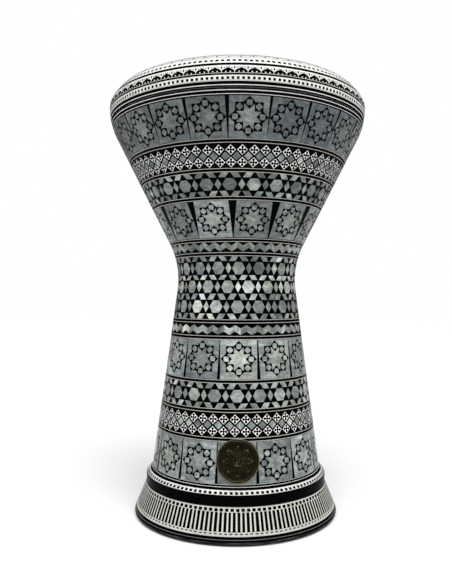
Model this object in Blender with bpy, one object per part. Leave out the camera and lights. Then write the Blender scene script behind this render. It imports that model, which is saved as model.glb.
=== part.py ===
"""Darbuka: an Egyptian goblet drum with a cast aluminium shell, hidden tuning bolts and mosaic inlay.

Metres, +Z up. The foot stands on z = 0 and the drum's axis is the Z axis. The medallion faces -Y.
The finished outside is one outline. The inlay strips are its outermost layer, and the shell and
the tuning ring lie one strip thickness and one glue line below it.
"""

import math

import bmesh
import bpy
from mathutils import Vector

# Layers
SEGMENTS = 32           # flat facets around every turned piece, all in step with each other
GAP = 0.0003            # glue line or seat between two touching pieces
INLAY = 0.0012          # thickness of a mosaic strip
CHORD_DEPTH = 0.0003    # how far the chords of a rounded profile may lie under its arc

# Finished outside, from the foot up and over the tuning ring: radius, height, corner rounding
OUTLINE = [
    (0.1045, 0.0004, 0.0),      # foot edge, underneath
    (0.1078, 0.0004, 0.0027),   # foot edge, outside
    (0.1078, 0.0042, 0.0030),   # where the foot starts to flare in
    (0.0958, 0.0333, 0.0),      # bottom of the black groove
    (0.0958, 0.0424, 0.0),      # top of the black groove
    (0.0896, 0.0490, 0.0060),   # cove under the lower cone
    (0.0606, 0.2618, 0.0850),   # waist
    (0.1366, 0.4114, 0.0586),   # shoulder
    (0.1366, 0.4302, 0.0120),   # ring, outside
    (0.1243, 0.4455, 0.0140),   # ring, crown
    (0.1102, 0.4450, 0.0018),   # ring, edge beside the head
    (0.1102, 0.4415, 0.0),      # ring, end of the inlay inside
]

# Inside of the bowl and the foot: radius, height, corner rounding
BORE = [
    (0.0985, 0.0, 0.0),
    (0.0892, 0.0330, 0.0200),
    (0.0834, 0.0500, 0.0200),
    (0.0544, 0.2628, 0.0910),
    (0.1265, 0.4054, 0.0),
]

# Rim: shelf, bearing edge, head and tuning ring
SHELF_TOP = 0.4104
SHELF_UNDERSIDE = 0.4054
BEARING_INNER_R = 0.1045
BEARING_OUTER_R = 0.1085
BEARING_TOP = 0.4415
BEARING_ROUNDING = 0.0016
FILM = 0.00025
FILM_SKIRT_BOTTOM = 0.4330
RING_BOTTOM = 0.4118
LIP_UNDERSIDE = 0.4385
POCKET_R = 0.1126
HOOP_INNER_R = 0.1096
HOOP_HEIGHT = 0.0092
HOOP_CLEARANCE = 0.0004

# Tuning bolts: M6 hex socket cap screws with a 1 mm pitch
BOLT_COUNT = 8
BOLT_CIRCLE_R = 0.1172
BOLT_SIDES = 12
SHANK_R = 0.0030
SHANK_LENGTH = 0.0180
HEAD_R = 0.0050
HEAD_HEIGHT = 0.0060
HEAD_CHAMFER = 0.0005
SOCKET_ACROSS_FLATS = 0.0050
SOCKET_DEPTH = 0.0030
HOLE_R = 0.0034
BLIND_HOLE_TOP = 0.4252
DRILL_OVERRUN = 0.002   # how far a hole's cutter starts outside the metal
WASHER_R = 0.0060
WASHER_THICKNESS = 0.0012

# Medallion on the lowest star band
MEDALLION_R = 0.0206
MEDALLION_HEIGHT = 0.0726
MEDALLION_THICKNESS = 0.0010
MEDALLION_EDGE = 0.0006        # height of its upright edge, under the chamfer
MEDALLION_FACE_R = 0.0192      # inner edge of the chamfer
MEDALLION_MIDDLE_R = 0.0113    # a ring of points that lets it bend with the drum
MEDALLION_AZIMUTH = math.radians(-88.6)

# Inlay strips on the shell, from the foot up: name, top edge, material
SHELL_STRIPS = [
    ("foot_edge_band", 0.0070, "black_inlay"),
    ("foot_dash_strip", 0.0124, "white_inlay"),
    ("foot_bar_band", 0.0284, "white_inlay"),
    ("foot_dot_strip", 0.0333, "white_inlay"),
    ("groove_band", 0.0424, "black_inlay"),
    ("bead_dot_strip", 0.0511, "white_inlay"),
    ("star_band_lower", 0.0906, "pearl_inlay"),
    ("stringing_1", 0.0935, "black_inlay"),
    ("diamond_band_lower", 0.1180, "pearl_inlay"),
    ("stringing_2", 0.1202, "black_inlay"),
    ("hexagon_band_lower", 0.1455, "pearl_inlay"),
    ("stringing_3", 0.1481, "black_inlay"),
    ("star_band_middle", 0.1868, "pearl_inlay"),
    ("stringing_4", 0.1898, "black_inlay"),
    ("zigzag_band_lower", 0.2036, "pearl_inlay"),
    ("stringing_5", 0.2060, "black_inlay"),
    ("hexagon_band_waist", 0.2692, "pearl_inlay"),
    ("stringing_6", 0.2718, "black_inlay"),
    ("zigzag_band_upper", 0.2830, "pearl_inlay"),
    ("stringing_7", 0.2860, "black_inlay"),
    ("star_band_upper", 0.3203, "pearl_inlay"),
    ("stringing_8", 0.3235, "black_inlay"),
    ("hexagon_band_upper", 0.3440, "pearl_inlay"),
    ("stringing_9", 0.3468, "black_inlay"),
    ("diamond_band_upper", 0.3675, "pearl_inlay"),
    ("stringing_10", 0.3700, "black_inlay"),
    ("star_band_rim", 0.4042, "pearl_inlay"),
    ("rim_line_band", SHELF_TOP, "black_inlay"),
]

# Inlay strips on the tuning ring, from the seam up: name, top edge, material
RING_STRIPS = [
    ("ring_line_band", 0.4160, "black_inlay"),
    ("ring_dot_strip_lower", 0.4212, "white_inlay"),
    ("ring_triangle_band", 0.4335, "white_inlay"),
    ("ring_dot_strip_upper", 0.4395, "white_inlay"),
    ("ring_crown_band", None, "pearl_inlay"),
]

# Colour, metallic and roughness of each material
MATERIALS = {
    "cast_aluminium": ((0.62, 0.62, 0.63), 1.0, 0.45),
    "pearl_inlay": ((0.60, 0.64, 0.64), 0.0, 0.20),
    "white_inlay": ((0.86, 0.86, 0.84), 0.0, 0.20),
    "black_inlay": ((0.012, 0.012, 0.013), 0.0, 0.15),
    "head_film": ((0.88, 0.88, 0.85), 0.0, 0.35),
    "hoop_aluminium": ((0.70, 0.70, 0.71), 1.0, 0.30),
    "bolt_steel": ((0.25, 0.25, 0.26), 1.0, 0.35),
    "medallion_brass": ((0.36, 0.29, 0.16), 1.0, 0.38),
}


def clear_scene():
    """Remove everything that the scene starts with."""
    for item in list(bpy.data.objects):
        bpy.data.objects.remove(item, do_unlink=True)


def make_material(name):
    """One Principled material from the MATERIALS table, made once and then shared."""
    found = bpy.data.materials.get(name)
    if found:
        return found
    colour, metallic, roughness = MATERIALS[name]
    material = bpy.data.materials.new(name)
    material.use_nodes = True
    shader = material.node_tree.nodes["Principled BSDF"]
    shader.inputs["Base Color"].default_value = (*colour, 1.0)
    shader.inputs["Metallic"].default_value = metallic
    shader.inputs["Roughness"].default_value = roughness
    material.diffuse_color = (*colour, 1.0)
    return material


def make_empty(name, parent=None):
    """An empty that groups the pieces of one moving body."""
    empty = bpy.data.objects.new(name, None)
    bpy.context.scene.collection.objects.link(empty)
    empty.parent = parent
    return empty


def make_object(name, bm, material, parent):
    """Turn a closed bmesh into a named object, shaded smooth with sharp edges kept."""
    bmesh.ops.recalc_face_normals(bm, faces=bm.faces)
    mesh = bpy.data.meshes.new(name)
    bm.to_mesh(mesh)
    bm.free()
    mesh.shade_smooth()
    mesh.set_sharp_from_angle(angle=math.radians(30))
    return place_mesh(name, mesh, material, parent)


def place_mesh(name, mesh, material, parent, location=(0, 0, 0)):
    """An object that shows a mesh, which other objects may share."""
    if not mesh.materials:
        mesh.materials.append(make_material(material))
    item = bpy.data.objects.new(name, mesh)
    bpy.context.scene.collection.objects.link(item)
    item.parent = parent
    item.location = location
    return item


def turned(name, section, material, parent):
    """A solid of revolution from a closed section of (radius, height) points."""
    bm = bmesh.new()
    corners = [bm.verts.new((radius, 0, height)) for radius, height in section]
    edges = [bm.edges.new((a, b)) for a, b in zip(corners, corners[1:])]
    if section[0][0] > 0:
        edges.append(bm.edges.new((corners[-1], corners[0])))
    bmesh.ops.spin(bm, geom=corners + edges, cent=(0, 0, 0), axis=(0, 0, 1),
                   angle=math.tau, steps=SEGMENTS, use_merge=False)
    bmesh.ops.remove_doubles(bm, verts=bm.verts, dist=1e-6)
    return make_object(name, bm, material, parent)


def lofted(loops):
    """An open bmesh through loops of equally many points, and its rows of vertices."""
    bm = bmesh.new()
    rows = [[bm.verts.new(point) for point in loop] for loop in loops]
    for below, above in zip(rows, rows[1:]):
        for i, corner in enumerate(below):
            j = (i + 1) % len(below)
            bm.faces.new((corner, below[j], above[j], above[i]))
    return bm, rows


def rounded_path(corners):
    """The (radius, height) points of a path whose corners are rounded by arcs."""
    path = [Vector(corners[0][:2])]
    for before, corner, after in zip(corners, corners[1:], corners[2:]):
        here = Vector(corner[:2])
        back = (Vector(before[:2]) - here).normalized()
        ahead = (Vector(after[:2]) - here).normalized()
        turn = math.pi - back.angle(ahead)
        if corner[2] == 0:
            path.append(here)
            continue
        reach = corner[2] * math.tan(turn / 2)
        centre = here + (back + ahead).normalized() * corner[2] / math.cos(turn / 2)
        first = here + back * reach - centre
        last = here + ahead * reach - centre
        step = 2 * math.acos(1 - CHORD_DEPTH / corner[2])
        count = math.ceil(turn / step)
        for i in range(count + 1):
            share = i / count
            near, far = math.sin((1 - share) * turn), math.sin(share * turn)
            path.append(centre + (first * near + last * far) / math.sin(turn))
    path.append(Vector(corners[-1][:2]))
    return path


class Outline:
    """The finished outside as a path with an inward mitre at each point."""

    def __init__(self, corners):
        self.points = rounded_path(corners)
        sides = [(b - a).normalized() for a, b in zip(self.points, self.points[1:])]
        inward = [Vector((-side.y, side.x)) for side in sides]
        joined = [(a + b) / (1 + a.dot(b)) for a, b in zip(inward, inward[1:])]
        self.inward = [inward[0]] + joined + [inward[-1]]
        self.along = [0.0]
        for a, b in zip(self.points, self.points[1:]):
            self.along.append(self.along[-1] + (b - a).length)

    def at_height(self, height):
        """How far along the path it first reaches a height."""
        for i, (a, b) in enumerate(zip(self.points, self.points[1:])):
            if a.y <= height <= b.y and b.y > a.y:
                share = (height - a.y) / (b.y - a.y)
                return self.along[i] + share * (self.along[i + 1] - self.along[i])
        raise ValueError(f"the outline has no height {height}")

    def at(self, along, depth):
        """The (radius, height) point a depth below the outside."""
        for i, (a, b) in enumerate(zip(self.along, self.along[1:])):
            if along <= b:
                share = max(0.0, (along - a) / (b - a))
                point = self.points[i].lerp(self.points[i + 1], share)
                inward = self.inward[i].lerp(self.inward[i + 1], share)
                return tuple(point + inward * depth)
        return tuple(self.points[-1] + self.inward[-1] * depth)

    def layer(self, start, end, depth):
        """The points of a layer between two places, a depth below the outside."""
        between = [s for s in self.along if start + 1e-6 < s < end - 1e-6]
        return [self.at(s, depth) for s in [start, *between, end]]


def strip(name, outline, start, end, material, parent):
    """One inlay strip, glued on all round, with a joint to the strips beside it."""
    start, end = start + GAP / 2, end - GAP / 2
    face = outline.layer(start, end, 0.0)
    back = outline.layer(start, end, INLAY)
    return turned(name, face + back[::-1], material, parent)


def strips(table, outline, start, parent):
    """A run of inlay strips, each starting where the one before it ends."""
    for name, top, material in table:
        end = outline.along[-1] if top is None else outline.at_height(top)
        strip(name, outline, start, end, material, parent)
        start = end


def bolt_places():
    """The (x, y) places of the tuning bolts."""
    for i in range(BOLT_COUNT):
        angle = math.tau * i / BOLT_COUNT
        yield BOLT_CIRCLE_R * math.cos(angle), BOLT_CIRCLE_R * math.sin(angle)


def circle(radius, height, sides=BOLT_SIDES, flat_radius=None):
    """A loop of points. With a flat radius every second point is nearer, which makes a hexagon."""
    radii = [radius if i % 2 == 0 else flat_radius or radius for i in range(sides)]
    turns = [math.tau * i / sides for i in range(sides)]
    return [(r * math.cos(t), r * math.sin(t), height) for r, t in zip(radii, turns)]


def drill(target, name, bottom, top):
    """Cut one hole per bolt through a piece, from one height to another."""
    bm = bmesh.new()
    for x, y in bolt_places():
        rows = []
        for height in (bottom, top):
            loop = circle(HOLE_R, height)
            rows.append([bm.verts.new((x + p[0], y + p[1], p[2])) for p in loop])
        low, high = rows
        bm.faces.new(low[::-1])
        bm.faces.new(high)
        for i, corner in enumerate(low):
            j = (i + 1) % len(low)
            bm.faces.new((corner, low[j], high[j], high[i]))
    mesh = bpy.data.meshes.new(name)
    bm.to_mesh(mesh)
    bm.free()
    cutter = bpy.data.objects.new(name, mesh)
    bpy.context.scene.collection.objects.link(cutter)
    cutter.hide_render = True
    cutter.display_type = "WIRE"
    cut = target.modifiers.new("bolt_holes", "BOOLEAN")
    cut.operation = "DIFFERENCE"
    cut.solver = "EXACT"
    cut.object = cutter


def make_shell(outline, parent):
    """The cast goblet: foot, bowl, shelf with bolt holes, and bearing edge."""
    depth = INLAY + GAP
    outside = outline.layer(0.0, outline.at_height(SHELF_TOP), depth)
    rebate_r, rebate_top = outside[0][0] - GAP, outside[0][1]
    top = [
        (outside[-1][0], SHELF_TOP),
        (BEARING_OUTER_R, SHELF_TOP),
        (BEARING_OUTER_R, BEARING_TOP - BEARING_ROUNDING),
        (BEARING_OUTER_R - BEARING_ROUNDING, BEARING_TOP),
        (BEARING_INNER_R + BEARING_ROUNDING, BEARING_TOP),
        (BEARING_INNER_R, BEARING_TOP - BEARING_ROUNDING),
        (BEARING_INNER_R, SHELF_UNDERSIDE),
    ]
    inside = [tuple(p) for p in rounded_path(BORE)]
    section = [(rebate_r, 0.0), (rebate_r, rebate_top)] + outside[:-1] + top + inside[::-1]
    shell = turned("shell", section, "cast_aluminium", parent)
    drill(shell, "shelf_hole_cutter", SHELF_UNDERSIDE - DRILL_OVERRUN, SHELF_TOP + DRILL_OVERRUN)
    return shell


def make_tuning_ring(outline, parent):
    """The heavy hoop that pulls the head down, with a blind threaded hole for each bolt."""
    outside = outline.layer(outline.at_height(RING_BOTTOM), outline.along[-1], INLAY + GAP)
    outside[0] = (outside[0][0], RING_BOTTOM)
    lip_r = outside[-1][0]
    inside = [(lip_r, LIP_UNDERSIDE), (POCKET_R, LIP_UNDERSIDE), (POCKET_R, RING_BOTTOM)]
    ring = turned("tuning_ring", outside + inside, "cast_aluminium", parent)
    drill(ring, "ring_hole_cutter", RING_BOTTOM - DRILL_OVERRUN, BLIND_HOLE_TOP)
    return ring


def make_head_hoop(parent):
    """The metal hoop of the head, which the ring's lip presses down."""
    top = LIP_UNDERSIDE - GAP
    outer = POCKET_R - HOOP_CLEARANCE
    section = [(outer, top - HOOP_HEIGHT), (outer, top), (HOOP_INNER_R, top),
               (HOOP_INNER_R, top - HOOP_HEIGHT)]
    return turned("head_hoop", section, "hoop_aluminium", parent)


def make_head_film(parent):
    """The polyester film: flat across the bearing edge, with its collar down the outside."""
    under = BEARING_TOP + GAP
    inner = BEARING_OUTER_R + GAP
    bend = BEARING_ROUNDING
    section = [
        (0.0, under),
        (inner - bend, under),
        (inner, under - bend),
        (inner, FILM_SKIRT_BOTTOM),
        (inner + FILM, FILM_SKIRT_BOTTOM),
        (inner + FILM, under - bend),
        (inner - bend, under + FILM),
        (0.0, under + FILM),
    ]
    return turned("head_film", section, "head_film", parent)


def bolt_mesh():
    """A hex socket cap screw, head down, with the underside of its head at the origin."""
    flat = SOCKET_ACROSS_FLATS / 2
    corner = flat / math.cos(math.pi / 6)
    bottom = -HEAD_HEIGHT
    bm, rows = lofted([
        circle(corner, bottom + SOCKET_DEPTH, flat_radius=flat),
        circle(corner, bottom, flat_radius=flat),
        circle(HEAD_R - HEAD_CHAMFER, bottom),
        circle(HEAD_R, bottom + HEAD_CHAMFER),
        circle(HEAD_R, 0.0),
        circle(SHANK_R, 0.0),
        circle(SHANK_R, SHANK_LENGTH - HEAD_CHAMFER),
        circle(SHANK_R - HEAD_CHAMFER, SHANK_LENGTH),
    ])
    bm.faces.new(rows[0])
    bm.faces.new(rows[-1])
    return finish_shared_mesh("tuning_bolt", bm)


def washer_mesh():
    """A flat washer with its top face at the origin."""
    low = -WASHER_THICKNESS
    bm, rows = lofted([circle(HOLE_R, 0.0), circle(WASHER_R, 0.0),
                       circle(WASHER_R, low), circle(HOLE_R, low)])
    bmesh.ops.bridge_loops(bm, edges=loop_edges(bm, rows[0]) + loop_edges(bm, rows[-1]))
    return finish_shared_mesh("washer", bm)


def loop_edges(bm, row):
    """The edges around one row of a lofted bmesh."""
    return [bm.edges.get((a, b)) for a, b in zip(row, row[1:] + row[:1])]


def finish_shared_mesh(name, bm):
    """A mesh that several objects show."""
    bmesh.ops.recalc_face_normals(bm, faces=bm.faces)
    mesh = bpy.data.meshes.new(name)
    bm.to_mesh(mesh)
    bm.free()
    mesh.shade_smooth()
    mesh.set_sharp_from_angle(angle=math.radians(35))
    return mesh


def make_fasteners(parent):
    """The tuning bolts with a washer each, their heads under the shelf."""
    bolt, washer = bolt_mesh(), washer_mesh()
    washer_top = SHELF_UNDERSIDE - GAP
    seat = washer_top - WASHER_THICKNESS - GAP
    for i, (x, y) in enumerate(bolt_places(), 1):
        place_mesh(f"washer_{i}", washer, "bolt_steel", parent, (x, y, washer_top))
        place_mesh(f"tuning_bolt_{i}", bolt, "bolt_steel", parent, (x, y, seat))


def make_medallion(outline, parent):
    """A thin round plate that is bent to the curve of the lowest star band."""
    def point(radius, angle, proud):
        height = MEDALLION_HEIGHT + radius * math.sin(angle)
        surface, _ = outline.at(outline.at_height(height), -proud)
        sweep = MEDALLION_AZIMUTH + radius * math.cos(angle) / surface
        return surface * math.cos(sweep), surface * math.sin(sweep), height

    sides = 24
    turns = [math.tau * i / sides for i in range(sides)]
    rings = [(MEDALLION_MIDDLE_R, GAP), (MEDALLION_R, GAP),
             (MEDALLION_R, GAP + MEDALLION_EDGE),
             (MEDALLION_FACE_R, GAP + MEDALLION_THICKNESS),
             (MEDALLION_MIDDLE_R, GAP + MEDALLION_THICKNESS)]
    bm, rows = lofted([[point(r, turn, proud) for turn in turns] for r, proud in rings])
    for row, proud in ((rows[0], GAP), (rows[-1], GAP + MEDALLION_THICKNESS)):
        centre = bm.verts.new(point(0.0, 0.0, proud))
        for a, b in zip(row, row[1:] + row[:1]):
            bm.faces.new((a, b, centre))
    return make_object("medallion", bm, "medallion_brass", parent)


def main():
    clear_scene()
    outline = Outline(OUTLINE)
    drum = make_empty("darbuka")
    sliding = make_empty("ring_slide", drum)
    make_shell(outline, drum)
    strips(SHELL_STRIPS, outline, 0.0, drum)
    make_medallion(outline, drum)
    make_head_film(drum)
    make_tuning_ring(outline, sliding)
    make_head_hoop(sliding)
    strips(RING_STRIPS, outline, outline.at_height(RING_BOTTOM) - GAP / 2, sliding)
    make_fasteners(drum)


main()
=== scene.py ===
"""Looks of the darbuka: mother-of-pearl, white and black mosaic under clear lacquer.

Metres, +Z up. Angles around the drum are measured from its front (-Y) towards its right (+X).
"""

from math import atan, atan2, ceil, cos, degrees, hypot, pi, radians, sin, sqrt, tan, tau

import bmesh
import bpy
import numpy as np
from mathutils import Matrix, Vector


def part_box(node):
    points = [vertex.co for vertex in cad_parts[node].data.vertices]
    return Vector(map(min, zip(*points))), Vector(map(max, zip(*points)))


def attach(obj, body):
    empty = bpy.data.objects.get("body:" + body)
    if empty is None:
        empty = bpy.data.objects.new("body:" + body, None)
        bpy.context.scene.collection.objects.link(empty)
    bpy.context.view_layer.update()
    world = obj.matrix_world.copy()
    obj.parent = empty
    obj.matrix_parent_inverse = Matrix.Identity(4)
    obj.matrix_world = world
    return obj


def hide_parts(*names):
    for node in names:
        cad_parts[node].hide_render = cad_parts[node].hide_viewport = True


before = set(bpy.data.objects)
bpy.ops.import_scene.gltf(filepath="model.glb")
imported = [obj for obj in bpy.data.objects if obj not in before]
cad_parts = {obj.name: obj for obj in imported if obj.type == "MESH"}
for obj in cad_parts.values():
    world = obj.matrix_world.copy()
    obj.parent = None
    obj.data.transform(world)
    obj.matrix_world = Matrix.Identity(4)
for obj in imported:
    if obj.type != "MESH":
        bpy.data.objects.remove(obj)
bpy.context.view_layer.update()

SEGMENTS = 240  # facets around every turned piece
GLUE = 0.0003  # glue line between two strips
BACK = 0.0011  # thickness of a strip
PROUD = 0.00003  # how far an inlaid piece stands above its strip
SINK = 0.00015  # how far it reaches into its strip
CELL = 0.0026  # widest cell of an inlaid piece, so that it follows the drum
TOUCH = 0.0006  # a point of the frame this near the outside is on it
MM = 0.001

# Finished outside: radius, height, corner rounding
OUTLINE = [
    (0.1045, 0.0004, 0.0), (0.1078, 0.0004, 0.0027), (0.1078, 0.0042, 0.0030), (0.0958, 0.0333, 0.0),
    (0.0958, 0.0424, 0.0), (0.0896, 0.0490, 0.0060), (0.0606, 0.2618, 0.0850), (0.1366, 0.4114, 0.0586),
    (0.1366, 0.4302, 0.0120), (0.1243, 0.4455, 0.0140), (0.1102, 0.4450, 0.0018), (0.1102, 0.4415, 0.0),
]

# Inside of the bowl and the foot: radius, height, corner rounding
BORE = [
    (0.0985, 0.0, 0.0), (0.0892, 0.0330, 0.0200), (0.0834, 0.0500, 0.0200), (0.0544, 0.2628, 0.0910),
    (0.1265, 0.4054, 0.0),
]


# ---- outline

def rounded_path(corners, arc=0.0018, run=0.008):
    """The (radius, height) points of a path with rounded corners, finely stepped."""
    ends = [Vector(corners[0][:2])]
    for before, corner, after in zip(corners, corners[1:], corners[2:]):
        here, rounding = Vector(corner[:2]), corner[2]
        if rounding == 0:
            ends.append(here)
            continue
        back = (Vector(before[:2]) - here).normalized()
        ahead = (Vector(after[:2]) - here).normalized()
        turn = pi - back.angle(ahead)
        reach = rounding * tan(turn / 2)
        centre = here + (back + ahead).normalized() * rounding / cos(turn / 2)
        first, last = here + back * reach - centre, here + ahead * reach - centre
        count = ceil(turn / min(radians(5), arc / rounding))
        for i in range(count + 1):
            share = i / count
            near, far = sin((1 - share) * turn), sin(share * turn)
            ends.append(centre + (first * near + last * far) / sin(turn))
    ends.append(Vector(corners[-1][:2]))
    path = [ends[0]]
    for a, b in zip(ends, ends[1:]):
        count = max(1, ceil((b - a).length / run))
        path += [a.lerp(b, (i + 1) / count) for i in range(count)]
    return [(p.x, p.y) for p in path]


class Curve:
    """A path of (radius, height) points with its length and its outward normal at each point."""

    def __init__(self, points):
        points = np.array(points)
        self.r, self.z = points[:, 0], points[:, 1]
        sides = np.diff(points, axis=0)
        lengths = np.hypot(sides[:, 0], sides[:, 1])
        self.s = np.concatenate([[0.0], np.cumsum(lengths)])
        out = np.stack([sides[:, 1], -sides[:, 0]], axis=1) / lengths[:, None]
        joined = out[:-1] + out[1:]
        joined /= (1 + (out[:-1] * out[1:]).sum(axis=1))[:, None]
        out = np.concatenate([out[:1], joined, out[-1:]])
        self.nr, self.nz = out[:, 0], out[:, 1]

    def at(self, s, proud=0.0):
        """Radius and height at a distance along the path, and how far out from it."""
        nr, nz = np.interp(s, self.s, self.nr), np.interp(s, self.s, self.nz)
        return np.interp(s, self.s, self.r) + nr * proud, np.interp(s, self.s, self.z) + nz * proud

    def normal(self, s):
        nr, nz = np.interp(s, self.s, self.nr), np.interp(s, self.s, self.nz)
        size = np.hypot(nr, nz)
        return nr / size, nz / size

    def along(self, z):
        """How far along the path it first reaches a height."""
        top = int(np.argmax(self.z)) + 1
        return float(np.interp(z, self.z[:top], self.s[:top]))

    def stations(self, start, end):
        """The path's own stops between two places, with both of them."""
        inner = self.s[(self.s > start + 2e-5) & (self.s < end - 2e-5)]
        return np.concatenate([[start], inner, [end]])

    def part(self, start, end):
        """The stretch of the path between two places. Its distances start at 0."""
        return Curve(np.stack(self.at(self.stations(start, end)), axis=1))


OUT = Curve(rounded_path(OUTLINE))
DENSE = np.linspace(0.0, OUT.s[-1], 6000)  # closely spaced places along it, to look a point up
DENSE_R, DENSE_Z = OUT.at(DENSE)


def strip_reach(node):
    """Where a strip of the frame starts and ends along the outline."""
    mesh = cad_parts[node].data
    co = np.array([vertex.co for vertex in mesh.vertices])
    spots = np.unique(np.round(np.stack([np.hypot(co[:, 0], co[:, 1]), co[:, 2]], axis=1), 6), axis=0)
    gap = np.hypot(spots[:, :1] - DENSE_R, spots[:, 1:] - DENSE_Z)
    places = DENSE[np.argmin(gap, axis=1)][gap.min(axis=1) < TOUCH]
    slack = GLUE / 2 - 0.00001
    return max(0.0, places.min() - slack), min(OUT.s[-1], places.max() + slack)


# ---- meshes

def new_mesh(name, points, loops, sizes):
    """A mesh from its points, its faces' corners one after another, and each face's corner count."""
    mesh = bpy.data.meshes.new(name)
    mesh.vertices.add(len(points))
    mesh.vertices.foreach_set("co", np.asarray(points, dtype=np.float32).ravel())
    mesh.loops.add(len(loops))
    mesh.loops.foreach_set("vertex_index", np.asarray(loops, dtype=np.int32))
    sizes = np.asarray(sizes, dtype=np.int32)
    mesh.polygons.add(len(sizes))
    mesh.polygons.foreach_set("loop_start", np.concatenate([[0], np.cumsum(sizes)[:-1]]).astype(np.int32))
    mesh.update(calc_edges=True)
    mesh.shade_smooth()
    return mesh


def take_mesh(bm, name):
    """The mesh of a finished bmesh."""
    mesh = bpy.data.meshes.new(name)
    bm.to_mesh(mesh)
    bm.free()
    return mesh


def add_object(name, data):
    item = bpy.data.objects.new(name, data)
    bpy.context.scene.collection.objects.link(item)
    return item


def add_piece(name, mesh, look, body, *nodes):
    """Put a mesh with a look (a material and its slot; the slot is not used) on a body, in the place of nodes
    of the frame.
    """
    material, slot = look
    mesh.materials.append(material)
    piece = add_object(name, mesh)
    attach(piece, body)
    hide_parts(*nodes)


def turned_mesh(name, sections):
    """One mesh of closed sections of (radius, height) points, each turned about the axis."""
    turns = np.arange(SEGMENTS) * tau / SEGMENTS
    points, quads, count = [], [], 0
    for section in sections:
        r, z = np.asarray(section).T
        m = len(r)
        points.append(np.stack([np.outer(np.cos(turns), r), np.outer(np.sin(turns), r),
                                np.broadcast_to(z, (SEGMENTS, m))], axis=2).reshape(-1, 3))
        i, j = np.meshgrid(np.arange(SEGMENTS), np.arange(m), indexing="ij")
        beside, above = (i + 1) % SEGMENTS, (j + 1) % m
        corners = np.stack([i * m + j, beside * m + j, beside * m + above, i * m + above], axis=2)
        quads.append(corners.reshape(-1, 4) + count)
        count += SEGMENTS * m
    quads = np.concatenate(quads)
    mesh = new_mesh(name, np.concatenate(points), quads.ravel(), np.full(len(quads), 4))
    mesh.set_sharp_from_angle(angle=radians(30))
    return mesh


def layer_section(start, end, proud=0.0, depth=BACK):
    """The closed section of a layer of the outside between two places along it."""
    curve = OUT.part(start, end)
    face = np.stack(curve.at(curve.s, proud), axis=1)
    stops = curve.s
    if depth == BACK:  # a strip's hidden back has few stops
        stops = np.linspace(0.0, curve.s[-1], max(2, ceil(curve.s[-1] / 0.006) + 1))
    back = np.stack(curve.at(stops, -depth), axis=1)
    return np.concatenate([face, back[::-1]])


def inset(points, amount):
    """A counterclockwise polygon with every side moved inwards."""
    moved = []
    points = [Vector(p) for p in points]
    for before, here, after in zip(points[-1:] + points[:-1], points, points[1:] + points[:1]):
        a, b = (here - before).normalized(), (after - here).normalized()
        na, nb = Vector((-a.y, a.x)), Vector((-b.y, b.x))
        joint = (na + nb) / (1 + na.dot(nb))
        moved.append(here + joint * amount)
    return [(p.x, p.y) for p in moved]


def cut_cells(shapes, columns, rows):
    """Cut flat polygons into cells along vertical and horizontal lines.

    Returns points, faces, the outer edges, and the polygon that each point is on.
    """
    bm = bmesh.new()
    source = bm.faces.layers.int.new("source")
    for i, shape in enumerate(shapes):
        face = bm.faces.new([bm.verts.new((x, y, 0)) for x, y in shape])
        face[source] = i
        face.normal_update()
        if face.normal.z < 0:
            face.normal_flip()
    for lines, normal in ((columns, Vector((1, 0, 0))), (rows, Vector((0, 1, 0)))):
        for line in lines:
            bmesh.ops.bisect_plane(bm, geom=bm.verts[:] + bm.edges[:] + bm.faces[:], dist=1e-7,
                                   plane_co=normal * line, plane_no=normal)
    bm.verts.index_update()
    points = np.array([v.co[:2] for v in bm.verts])
    faces = [[v.index for v in f.verts] for f in bm.faces]
    rim = [(corner.vert.index, corner.link_loop_next.vert.index)
           for f in bm.faces for corner in f.loops if len(corner.edge.link_faces) == 1]
    owner = np.zeros(len(points), dtype=int)
    for face, corners in zip(bm.faces, faces):
        owner[corners] = face[source]
    bm.free()
    return points, faces, rim, owner


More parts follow.
